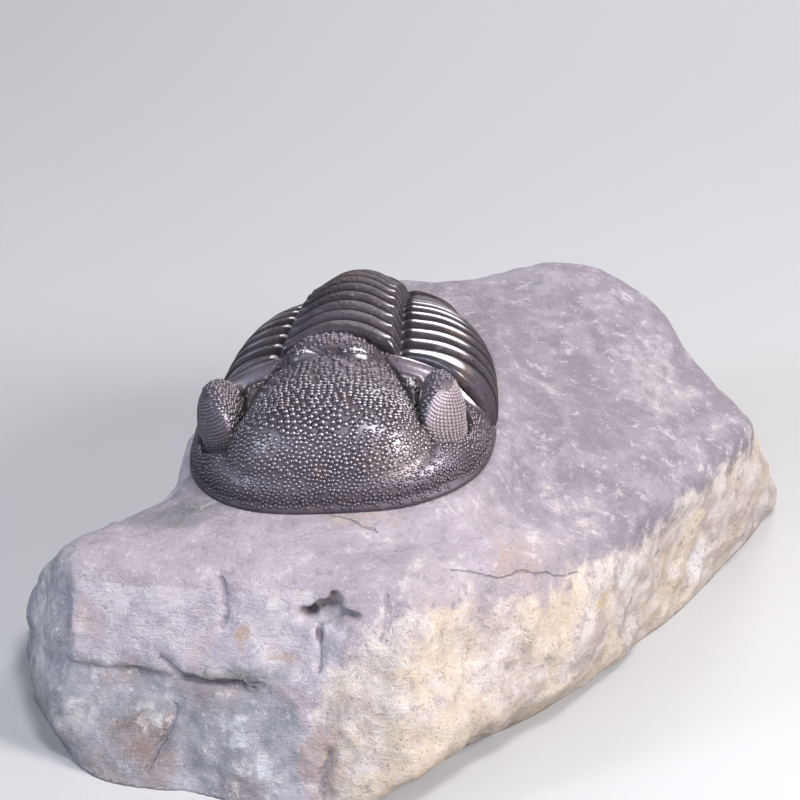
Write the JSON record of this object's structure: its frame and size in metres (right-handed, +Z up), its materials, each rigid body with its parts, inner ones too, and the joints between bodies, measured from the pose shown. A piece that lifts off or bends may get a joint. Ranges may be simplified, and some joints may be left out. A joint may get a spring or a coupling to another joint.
{
  "type": "trilobite fossil on a matrix rock",
  "caption": "Inflated, tuberculate trilobite with bean-shaped eyes and a ribbed, arched body, lying prone on a wedge-shaped block of pale limestone that rests on its flat underside.",
  "frame": {"origin": "middle of the bounding box at the level of the flat underside of the rock", "axes": "+Z up from the flat underside, the trilobite's head towards -Y, +X to the right as seen from in front"},
  "size_m": [0.078, 0.0682, 0.0351],
  "materials": {
    "dark_calcite": "dark brown-black mineral shell, polished by preparation, granular and semi-gloss",
    "limestone": "rough broken limestone, pale grey-violet and cream with rust and white patches"
  },
  "bodies": {
    "root": {"cephalon": "dark_calcite", "thoracic_segment_01": "dark_calcite", "thoracic_segment_02": "dark_calcite", "thoracic_segment_03": "dark_calcite", "thoracic_segment_04": "dark_calcite", "thoracic_segment_05": "dark_calcite", "thoracic_segment_06": "dark_calcite", "thoracic_segment_07": "dark_calcite", "thoracic_segment_08": "dark_calcite", "thoracic_segment_09": "dark_calcite", "thoracic_segment_10": "dark_calcite", "thoracic_segment_11": "dark_calcite", "pygidium": "dark_calcite", "matrix_rock": "limestone"}
  },
  "joints": []
}
